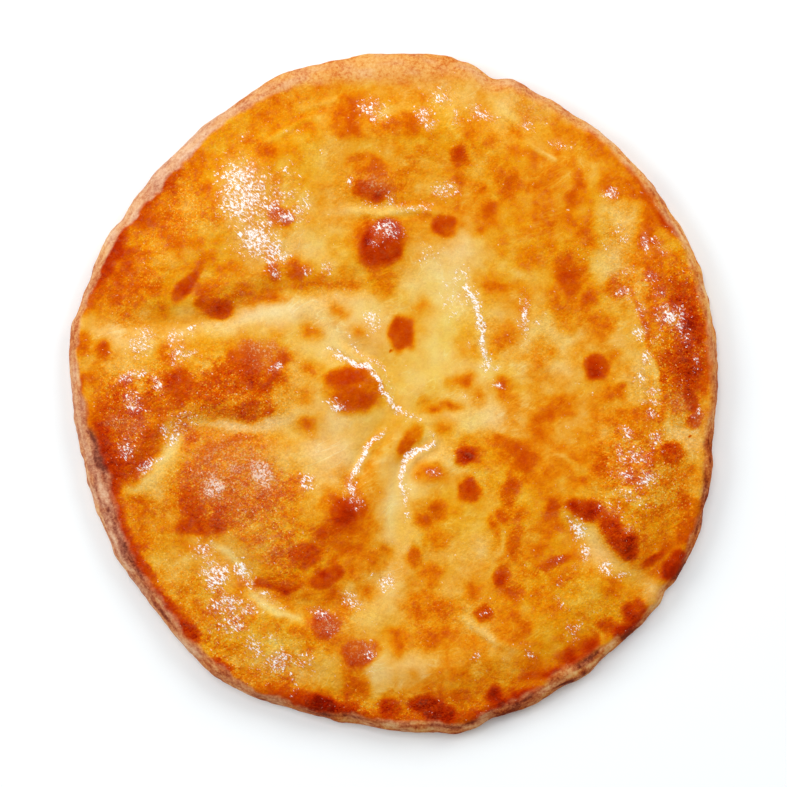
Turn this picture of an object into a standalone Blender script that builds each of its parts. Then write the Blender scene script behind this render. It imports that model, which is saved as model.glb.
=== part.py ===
"""Imeruli khachapuri: a round, flat loaf with cheese sealed inside, baked with its gathered side up.

It is one closed solid. A disc of dough lies flat on its underside. Its edge is a rounded wall, and its top is a
low plateau that rises in puffed domes and blisters and sinks along the folds where the dough was gathered.
Sizes in this file are in millimetres, and the mesh is made in metres.
"""

import math

import bmesh
import bpy
import numpy as np

MM = 0.001

# The whole loaf
HALF_WIDTH = 129.4  # along X
HALF_LENGTH = 135.6  # along Y
PLATEAU = 14.6  # height of the flat part of the top
SHOULDER = 11.6  # height where the edge wall meets the top
SHOULDER_RUN = 22.0  # how far in from the shoulder the top takes to reach the plateau

# The edge wall
WALL = 6.2  # how far the wall leans in above its widest line
TUCK = 6.0  # how far it curls in below that line, down to the underside
WIDEST = 4.6  # height of the widest line

# How finely the solid is made
CELLS = 58  # squares along each side of the grid that becomes the top
UPPER_RINGS = 4
LOWER_RINGS = 2

# Where the outline swells out or draws in: angle and spread in degrees, then how far
SWELLS = [
    (24, 22, 2.0),
    (46, 3, -0.9),
    (58, 4, -1.0),
    (65, 3, -0.9),
    (72.4, 2.7, -3.1),
    (78, 4, 0.9),
    (132, 14, -3.6),
    (147, 2.4, -1.3),
    (169, 4, 1.4),
    (194, 12, -3.1),
    (208, 2.5, -1.2),
    (220, 10, -4.0),
    (234, 3, -1.2),
    (251, 5, -2.2),
    (261, 6, -3.0),
    (282, 5, 2.8),
    (287, 1.8, -1.2),
    (293, 4, 2.4),
    (304, 4, 1.4),
    (312, 10, 2.6),
    (324, 1.6, -1.6),
    (325, 7, 0.9),
    (332, 9, 4.4),
    (345, 5, 1.0),
]
# Where the wall leans in further: angle and spread in degrees, then how far
LEANS = [
    (92, 20, 6.5),
    (134, 14, 2.0),
    (207, 13, 3.4),
    (290, 20, 1.2),
    (0, 25, -1.4),
]
RIPPLES = [(17, 0.35, 0.4), (29, 0.2, 2.1)]  # waves round the outline, height, phase

# Puffed domes: centre x and y, half sizes along and across, turn in degrees, rise
DOMES = [
    (-58, -44, 38, 27, -28, 4.4),
    (-70, 3, 34, 13, 4, 2.6),
    (-62, 66, 42, 24, 42, 2.6),
    (-106, -14, 17, 27, 8, 2.2),
    (114, 24, 12, 40, 8, 3.4),
    (-2, 108, 50, 15, 0, 1.6),
    (60, 72, 30, 34, -20, 1.4),
    (97, -38, 20, 22, 0, 2.4),
    (24, -108, 50, 17, 6, 1.6),
    (-66, -98, 34, 14, -40, 1.6),
    (58, -38, 20, 24, 0, 1.2),
    (-22, -47, 14, 13, 0, 1.8),
    (-16, 2, 12, 10, 0, 2.4),
    (-5, 60, 13, 10, 35, 2.2),
    (-6, 83, 10, 9, 0, 1.4),
    (90, -60, 12, 6, -50, 1.8),
]
# Low soft stretches, the same way, with how far each sinks
HOLLOWS = [
    (18, 24, 22, 34, 0, 1.6),
    (-88, 29, 26, 7, 0, 1.6),
    (8, -70, 12, 26, 0, 1.0),
    (80, -60, 14, 8, -45, 1.4),
]

FOLD_WIDTH = 5.2
FOLD_DEPTH = 2.0
FOLD_LIP = 0.9  # how far the rolled lip on a fold's left side stands up
FOLD_SAMPLES = 36
# The folds, as the points each runs through, most of them drawn in to the gathering point near the middle
FOLDS = [
    [(-126, 27), (-108, 26), (-88, 27), (-70, 30), (-58, 35), (-42, 40), (-26, 40), (-10, 44)],
    [(-36, 32), (-27, 23), (-18, 16), (-8, 13), (-2, 6), (0, -4), (3, -9)],
    [(3, -9), (-5, -15), (-10, -22), (-14, -30), (-20, -38)],
    [(15, -12), (17, -19), (10, -25), (4, -30), (3, -42), (1, -58), (-5, -74), (-16, -86)],
    [(-100, -34), (-91, -22), (-78, -14), (-60, -13), (-40, -16), (-22, -20)],
    [(-14, -80), (-26, -86), (-38, -84), (-50, -78), (-62, -68), (-74, -56)],
    [(106, -22), (105, -8), (103, 12), (97, 34), (90, 58), (84, 84)],
    [(128, -17), (116, -16), (106, -20)],
    [(108, -83), (98, -76), (88, -69), (79, -61), (70, -49)],
    [(38, 128), (35, 118), (40, 108), (54, 103)],
    [(-95, -80), (-104, -66), (-109, -52), (-112, -38), (-114, -25), (-114, -10)],
    [(92, -90), (84, -97), (76, -103), (66, -109), (56, -114)],
]


def bell(away):
    return np.exp(-away * away)


def smooth_step(value):
    t = np.clip(value, 0.0, 1.0)
    return t * t * (3.0 - 2.0 * t)


def swells_at(angle, swells):
    """Sum of the swells at these angles in radians, each a bell round its own angle."""
    total = np.zeros_like(angle)
    for centre, spread, height in swells:
        away = np.degrees(np.angle(np.exp(1j * (angle - math.radians(centre)))))
        total += height * bell(away / spread)
    return total


def outline(angle):
    """Radius of the loaf at its widest line."""
    c, s = np.cos(angle) / HALF_WIDTH, np.sin(angle) / HALF_LENGTH
    ripples = sum(height * np.sin(count * angle + phase) for count, height, phase in RIPPLES)
    return 1.0 / np.hypot(c, s) + swells_at(angle, SWELLS) + ripples


def wall_lean(angle):
    return WALL + swells_at(angle, LEANS)


def oval(x, y, centre_x, centre_y, along, across, turn):
    """How far (x, y) lies from an oval's centre, where 1 is on the oval."""
    c, s = math.cos(math.radians(turn)), math.sin(math.radians(turn))
    u = ((x - centre_x) * c + (y - centre_y) * s) / along
    v = ((y - centre_y) * c - (x - centre_x) * s) / across
    return np.hypot(u, v)


def curve_through(points, samples):
    """Points along a smooth curve through these points, with a Catmull-Rom piece between each two."""
    p = np.array([points[0], *points, points[-1]], float)
    found = []
    for place in np.linspace(0, len(points) - 1, samples):
        i = min(int(place), len(points) - 2)
        t = place - i
        a, b, c, d = p[i : i + 4]
        bend = (2 * a - 5 * b + 4 * c - d) * t * t + (3 * b - a - 3 * c + d) * t**3
        found.append(0.5 * (2 * b + (c - a) * t + bend))
    return np.array(found)


def fold_relief(x, y, points):
    """Height that one fold adds: a groove that fades at both ends, with a rolled lip on its left."""
    route = curve_through(points, FOLD_SAMPLES)
    ahead = np.gradient(route, axis=0)
    ahead /= np.linalg.norm(ahead, axis=1)[:, None]
    off_x, off_y = x[:, None] - route[:, 0], y[:, None] - route[:, 1]
    away = np.hypot(off_x, off_y)
    near = away.argmin(axis=1)
    rows = np.arange(len(x))
    leftward = ahead[near, 0] * off_y[rows, near] - ahead[near, 1] * off_x[rows, near]
    side = np.copysign(away[rows, near], leftward)
    fade = np.sqrt(np.sin(math.pi * (near + 0.5) / FOLD_SAMPLES))
    groove = FOLD_DEPTH * bell(side / FOLD_WIDTH)
    lip = FOLD_LIP * bell((side - 1.7 * FOLD_WIDTH) / FOLD_WIDTH)
    return fade * (lip - groove)


def top_height(x, y):
    """Height of the top at points inside the shoulder."""
    angle = np.arctan2(y, x)
    inset = outline(angle) - wall_lean(angle) - np.hypot(x, y)
    relief = np.zeros_like(x)
    for *place, rise in DOMES:
        relief += rise * bell(oval(x, y, *place))
    for *place, sink in HOLLOWS:
        relief -= sink * bell(oval(x, y, *place))
    for points in FOLDS:
        relief += fold_relief(x, y, points)
    risen = smooth_step(inset / SHOULDER_RUN)
    return SHOULDER + (PLATEAU - SHOULDER) * risen + relief * (0.35 + 0.65 * risen)


def disc_place(u, v):
    """Moves a point of the square from -1 to 1 to the round disc of radius 1, keeping areas equal."""
    if abs(u) < 1e-12 and abs(v) < 1e-12:
        return 0.0, 0.0
    if abs(u) >= abs(v):
        turn = math.pi / 4 * v / u
        return u * math.cos(turn), u * math.sin(turn)
    turn = math.pi / 2 - math.pi / 4 * u / v
    return v * math.cos(turn), v * math.sin(turn)


def wall_ring(angle, shoulder_height, quarter):
    """Radius and height of the wall. quarter is 1 at the shoulder, 0 at the widest line, -1 at the underside."""
    lean = wall_lean(angle) if quarter > 0 else np.full_like(angle, TUCK)
    above = shoulder_height - WIDEST if quarter > 0 else WIDEST
    turn = quarter * math.pi / 2
    return outline(angle) - lean * (1 - math.cos(turn)), WIDEST + above * math.sin(turn)


def place_top(bm):
    """Turns the flat square grid into the loaf's top."""
    unit = np.array([disc_place(v.co.x, v.co.y) for v in bm.verts])
    angle = np.arctan2(unit[:, 1], unit[:, 0])
    reach = outline(angle) - wall_lean(angle)
    x, y = unit[:, 0] * reach, unit[:, 1] * reach
    z = top_height(x, y)
    for vert, place in zip(bm.verts, np.stack([x, y, z], axis=1)):
        vert.co = place


def split_along_form(bm):
    """Cuts each four-sided face of the top along the diagonal that lies closer to the true surface."""
    faces = [face for face in bm.faces if len(face.verts) == 4]
    corners = np.array([[vert.co for vert in face.verts] for face in faces])
    middle = corners.mean(axis=1)
    true_height = top_height(middle[:, 0], middle[:, 1])
    first = abs((corners[:, 0, 2] + corners[:, 2, 2]) / 2 - true_height)
    second = abs((corners[:, 1, 2] + corners[:, 3, 2]) / 2 - true_height)
    for face, start in zip(faces, np.where(first <= second, 0, 1)):
        bmesh.utils.face_split(face, face.verts[start], face.verts[start + 2])


def add_ring(bm, edges, shoulder_of, quarter):
    """Extrudes the open rim and moves the new rim to its place on the wall."""
    new = bmesh.ops.extrude_edge_only(bm, edges=edges)["geom"]
    verts = [item for item in new if isinstance(item, bmesh.types.BMVert)]
    angle = np.array([math.atan2(v.co.y, v.co.x) for v in verts])
    shoulder = np.interp(angle, *shoulder_of, period=2 * math.pi)
    radius, height = wall_ring(angle, shoulder, quarter)
    for vert, a, r, z in zip(verts, angle, radius, np.broadcast_to(height, angle.shape)):
        vert.co = (r * math.cos(a), r * math.sin(a), z)
    return [item for item in new if isinstance(item, bmesh.types.BMEdge)]


def build_loaf():
    bm = bmesh.new()
    bmesh.ops.create_grid(bm, x_segments=CELLS, y_segments=CELLS, size=1.0)
    place_top(bm)
    split_along_form(bm)
    rim = [edge for edge in bm.edges if edge.is_boundary]
    rim_verts = {vert for edge in rim for vert in edge.verts}
    heights = sorted((math.atan2(v.co.y, v.co.x), v.co.z) for v in rim_verts)
    shoulder_of = np.array(heights).T
    upper = [1 - (ring + 1) / UPPER_RINGS for ring in range(UPPER_RINGS)]
    lower = [-(ring + 1) / LOWER_RINGS for ring in range(LOWER_RINGS)]
    for quarter in upper + lower:
        rim = add_ring(bm, rim, shoulder_of, quarter)
    bmesh.ops.contextual_create(bm, geom=rim)
    bmesh.ops.recalc_face_normals(bm, faces=bm.faces)
    centre_on_box(bm)
    return bm


def centre_on_box(bm):
    """Puts the origin at the middle of the underside and turns millimetres into metres."""
    places = np.array([vert.co for vert in bm.verts])
    middle = (places.min(axis=0) + places.max(axis=0)) / 2
    middle[2] = places[:, 2].min()
    for vert, place in zip(bm.verts, places):
        vert.co = (place - middle) * MM


def crust_material():
    material = bpy.data.materials.new("baked_crust")
    material.use_nodes = True
    shader = material.node_tree.nodes["Principled BSDF"]
    shader.inputs["Base Color"].default_value = (0.79, 0.29, 0.02, 1.0)
    shader.inputs["Roughness"].default_value = 0.42
    shader.inputs["Metallic"].default_value = 0.0
    return material


def main():
    for obj in list(bpy.data.objects):
        bpy.data.objects.remove(obj)
    bm = build_loaf()
    mesh = bpy.data.meshes.new("khachapuri")
    bm.to_mesh(mesh)
    bm.free()
    mesh.shade_smooth()
    mesh.set_sharp_from_angle(angle=math.radians(50))
    mesh.materials.append(crust_material())
    loaf = bpy.data.objects.new("khachapuri", mesh)
    bpy.context.scene.collection.objects.link(loaf)


main()
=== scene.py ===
"""Looks of the imeruli khachapuri: a round, flat, cheese-filled bread seen from straight above.

The form follows the CAD solid's own functions, made again on a finer mesh that adds blisters, creases,
the layered edge and the baked underside. Sizes are in millimetres until the mesh is fitted to the CAD box.
"""

import math

import bpy
import numpy as np
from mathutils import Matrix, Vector


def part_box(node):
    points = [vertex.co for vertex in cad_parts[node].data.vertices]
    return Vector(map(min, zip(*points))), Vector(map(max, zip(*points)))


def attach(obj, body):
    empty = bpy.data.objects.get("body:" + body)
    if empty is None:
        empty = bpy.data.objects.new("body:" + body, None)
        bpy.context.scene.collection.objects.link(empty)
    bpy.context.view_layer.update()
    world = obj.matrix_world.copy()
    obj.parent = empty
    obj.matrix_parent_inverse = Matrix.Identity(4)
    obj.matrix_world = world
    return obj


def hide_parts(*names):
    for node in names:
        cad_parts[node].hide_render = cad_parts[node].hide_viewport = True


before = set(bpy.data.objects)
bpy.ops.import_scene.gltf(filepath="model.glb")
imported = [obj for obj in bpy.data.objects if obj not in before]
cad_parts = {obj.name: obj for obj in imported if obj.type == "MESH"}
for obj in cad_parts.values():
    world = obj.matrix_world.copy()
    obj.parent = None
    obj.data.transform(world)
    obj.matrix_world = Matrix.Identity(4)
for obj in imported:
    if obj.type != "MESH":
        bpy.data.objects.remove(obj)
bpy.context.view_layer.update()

MM = 0.001


def table(text):
    """Rows of numbers. Commas and line ends part the rows, and # starts a comment."""
    lines = (line.split("#")[0] for line in text.splitlines())
    return [[float(word) for word in row.split()] for line in lines for row in line.split(",") if row.strip()]


def spots(text):
    """Rows of centre x and y, half sizes along and across, turn in degrees, and strength.

    A row of five numbers has no turn, and a row of four is round.
    """
    rows = table(text)
    for row in rows:
        if len(row) == 4:
            row.insert(3, row[2])
        if len(row) == 5:
            row.insert(4, 0.0)
    return rows


def curves(text, settings=2):
    """Rows of a few settings, then the list of points that the curve runs through."""
    return [(*row[:settings], list(zip(row[settings::2], row[settings + 1 :: 2]))) for row in table(text)]


# -------- The loaf's form, as in the CAD solid --------

HALF_WIDTH = 129.4
HALF_LENGTH = 135.6
PLATEAU = 14.6
SHOULDER = 11.6
SHOULDER_RUN = 22.0
WALL = 6.2
TUCK = 6.0
WIDEST = 4.6

# Angle and spread in degrees, then how far the outline swells
SWELLS = table("""
    24 22 2, 46 3 -.9, 58 4 -1, 65 3 -.9, 72.4 2.7 -3.1, 78 4 .9, 132 14 -3.6, 147 2.4 -1.3, 169 4 1.4,
    194 12 -3.1, 208 2.5 -1.2, 220 10 -4, 234 3 -1.2, 251 5 -2.2, 261 6 -3, 282 5 2.8, 287 1.8 -1.2,
    293 4 2.4, 304 4 1.4, 312 10 2.6, 324 1.6 -1.6, 325 7 .9, 332 9 4.4, 345 5 1,
""")
LEANS = table("92 20 6.5, 134 14 2, 207 13 3.4, 290 20 1.2, 0 25 -1.4")
RIPPLES = table("17 .35 .4, 29 .2 2.1")

# Spots with how far they rise or sink, in mm
DOMES = spots("""
    -58 -44 38 27 -28 4.4, -70 3 34 13 4 2.6, -62 66 42 24 42 2.6, -106 -14 17 27 8 2.2, 114 24 12 40 8 3.4,
    -2 108 50 15 1.6, 60 72 30 34 -20 1.4, 97 -38 20 22 2.4, 24 -108 50 17 6 1.6, -66 -98 34 14 -40 1.6,
    58 -38 20 24 1.2, -22 -47 14 13 1.8, -16 2 12 10 2.4, -5 60 13 10 35 2.2, -6 83 10 9 1.4,
    90 -60 12 6 -50 1.8,
""")
HOLLOWS = spots("""
    18 24 22 34 1.6, -88 29 26 7 1.6, 8 -70 12 26 1, 80 -60 14 8 -45 1.4,
""")

FOLD_WIDTH = 5.2
FOLD_DEPTH = 1.0
FOLD_LIP = 0.6
FOLD_SAMPLES = 120
FOLDS = [points for (points,) in curves("""
    -126 27  -108 26  -88 27  -70 30  -58 35  -42 40  -26 40  -10 44
    -36 32  -27 23  -18 16  -8 13  -2 6  0 -4  3 -9
    3 -9  -5 -15  -10 -22  -14 -30  -20 -38
    15 -12  17 -19  10 -25  4 -30  3 -42  1 -58  -5 -74  -16 -86
    -100 -34  -91 -22  -78 -14  -60 -13  -40 -16  -22 -20
    -14 -80  -26 -86  -38 -84  -50 -78  -62 -68  -74 -56
    106 -22  105 -8  103 12  97 34  90 58  84 84
    128 -17  116 -16  106 -20
    108 -83  98 -76  88 -69  79 -61  70 -49
    38 128  35 118  40 108  54 103
    -95 -80  -104 -66  -109 -52  -112 -38  -114 -25  -114 -10
    92 -90  84 -97  76 -103  66 -109  56 -114
""", 0)]

# -------- Finer relief that only the looks have --------

# Thin creases: width, depth, then the points each runs through
CREASES = curves("""
    1.5 .8   -28 28  -23 20  -16 15  -9 12  -4 6  -1 0  1 -8
    1.4 .7   15 -14  17 -20  10 -25  5 -31  4 -41
    1.4 .6   -2 -14  -8 -21  -13 -29  -17 -37
    1.6 .6   -20 73  -6 71  8 73  22 71
    1.3 .6   26 -88  33 -93  40 -98  50 -102
    1.2 .5   -52 99  -44 103  -36 108  -28 110
    1.2 .4   -38 112  -28 115  -18 117
    1.5 .7   30 43  34 31  35 22  38 13
    1.2 .5   54 99  60 95  66 92
""")

# Lumps and dents of the edge: angle and spread in degrees, and how far out
EDGE_LUMPS = table("""
    322 8 1.5, 340 4 .9, 287 2.6 1.3, 46 7 .8, 17 3 .6, 116 6 -.8, 62 4 -.8, 158 12 -.4, 198 12 -.4,
    222 6 -.4, 264 3.5 -.6,
""")

# How deep the edge's notches are, and by angle and spread in degrees how much deeper some are
NOTCHES = 0.3
NOTCHED = table("310 26 .4, 215 14 .25, 65 14 .15")

GRID = 250  # squares along each side of the grid that becomes the top
UPPER_RINGS = 16
LOWER_RINGS = 8
BASE_RINGS = 9
BASE_HOLLOW = 0.5  # how far the underside's hollows reach up

# The unwrapping: how much of the upper disc's radius the top takes, then each disc's size and middle
TOP_SHARE = 0.87
UPPER_DISC = (0.395, (0.4, 0.6))
LOWER_DISC = (0.17, (0.825, 0.175))


def bell(away):
    return np.exp(-away * away)


def smooth_step(value):
    t = np.clip(value, 0.0, 1.0)
    return t * t * (3.0 - 2.0 * t)


def noise(x, y, size, seed):
    """Smooth noise from -1 to 1 whose lumps are about this size."""
    grid = np.random.default_rng(seed).random((64, 64)) * 2.0 - 1.0
    u, v = x / size + 17.3 + seed, y / size + 41.7 - seed
    i, j = np.floor(u).astype(int), np.floor(v).astype(int)
    s, t = u - i, v - j
    s, t = s * s * (3.0 - 2.0 * s), t * t * (3.0 - 2.0 * t)
    i0, i1, j0, j1 = i % 64, (i + 1) % 64, j % 64, (j + 1) % 64
    near = grid[i0, j0] * (1 - s) + grid[i1, j0] * s
    far = grid[i0, j1] * (1 - s) + grid[i1, j1] * s
    return near * (1 - t) + far * t


def noise_round(angle, length, across, seed):
    """Smooth noise from -1 to 1 that meets itself after a full turn, with lumps about this many mm long."""
    times = max(1, round(13.0 / length))
    return noise(angle / math.tau * 64 * times, across, 1.0, seed)


def swells_at(angle, swells):
    total = np.zeros_like(angle)
    for centre, spread, height in swells:
        away = np.degrees(np.angle(np.exp(1j * (angle - math.radians(centre)))))
        total += height * bell(away / spread)
    return total


def outline(angle):
    c, s = np.cos(angle) / HALF_WIDTH, np.sin(angle) / HALF_LENGTH
    ripples = sum(height * np.sin(count * angle + phase) for count, height, phase in RIPPLES)
    return 1.0 / np.hypot(c, s) + swells_at(angle, SWELLS + EDGE_LUMPS) + ripples


def wall_lean(angle):
    return WALL + swells_at(angle, LEANS)


def oval(x, y, centre_x, centre_y, along, across, turn):
    c, s = math.cos(math.radians(turn)), math.sin(math.radians(turn))
    u = ((x - centre_x) * c + (y - centre_y) * s) / along
    v = ((y - centre_y) * c - (x - centre_x) * s) / across
    return np.hypot(u, v)


def curve_through(points, samples):
    p = np.array([points[0], *points, points[-1]], float)
    found = []
    for place in np.linspace(0, len(points) - 1, samples):
        i = min(int(place), len(points) - 2)
        t = place - i
        a, b, c, d = p[i : i + 4]
        bend = (2 * a - 5 * b + 4 * c - d) * t * t + (3 * b - a - 3 * c + d) * t**3
        found.append(0.5 * (2 * b + (c - a) * t + bend))
    return np.array(found)


def beside_curve(x, y, points, reach):
    """Signed distance from a curve, positive on its left, and a fade that is 0 at its ends and 1 between."""
    route = curve_through(points, FOLD_SAMPLES)
    ahead = np.gradient(route, axis=0)
    step = np.linalg.norm(ahead, axis=1)
    ahead /= step[:, None]
    low, high = route.min(axis=0) - reach, route.max(axis=0) + reach
    inside = (x > low[0]) & (x < high[0]) & (y > low[1]) & (y < high[1])
    side, fade = np.full(x.shape, 1e3), np.zeros(x.shape)
    off_x, off_y = x[inside, None] - route[:, 0], y[inside, None] - route[:, 1]
    near = np.hypot(off_x, off_y).argmin(axis=1)
    rows = np.arange(len(near))
    off_x, off_y = off_x[rows, near], off_y[rows, near]
    leftward = ahead[near, 0] * off_y - ahead[near, 1] * off_x
    along = ahead[near, 0] * off_x + ahead[near, 1] * off_y
    beyond = np.maximum(abs(along) - step[near], 0.0)
    side[inside] = np.copysign(np.hypot(leftward, beyond), leftward)
    place = (near + np.clip(along / step[near], -0.5, 0.5) + 0.5) / FOLD_SAMPLES
    fade[inside] = np.sqrt(np.clip(np.sin(math.pi * np.clip(place, 0, 1)), 0, 1))
    return side, fade


def fold_relief(x, y, points):
    side, fade = beside_curve(x, y, points, 5 * FOLD_WIDTH)
    groove = FOLD_DEPTH * bell(side / FOLD_WIDTH)
    lip = FOLD_LIP * bell((side - 1.7 * FOLD_WIDTH) / FOLD_WIDTH)
    return fade * (lip - groove)


def crease_relief(x, y, width, height, points):
    side, fade = beside_curve(x, y, points, 6 * width)
    return fade * height * (bell(side / width) - 0.5 * bell((abs(side) - 1.9 * width) / width))


def inset_at(x, y):
    """How far a point of the top lies inside the shoulder."""
    angle = np.arctan2(y, x)
    return outline(angle) - wall_lean(angle) - np.hypot(x, y)


def top_height(x, y):
    relief = np.zeros_like(x)
    for *place, rise in DOMES:
        relief += rise * bell(oval(x, y, *place))
    for *place, sink in HOLLOWS:
        relief -= sink * bell(oval(x, y, *place))
    for points in FOLDS:
        relief += fold_relief(x, y, points)
    risen = smooth_step(inset_at(x, y) / SHOULDER_RUN)
    return SHOULDER + (PLATEAU - SHOULDER) * risen + relief * (0.35 + 0.65 * risen)


# -------- Where the top is browned, pale, glossy or floury or has painted glints, sheen and shade, and the colour of the side ---

# the rows at -50 38, -30 45 and -14 44 are painted shadow under the lip of the left fold
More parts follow.
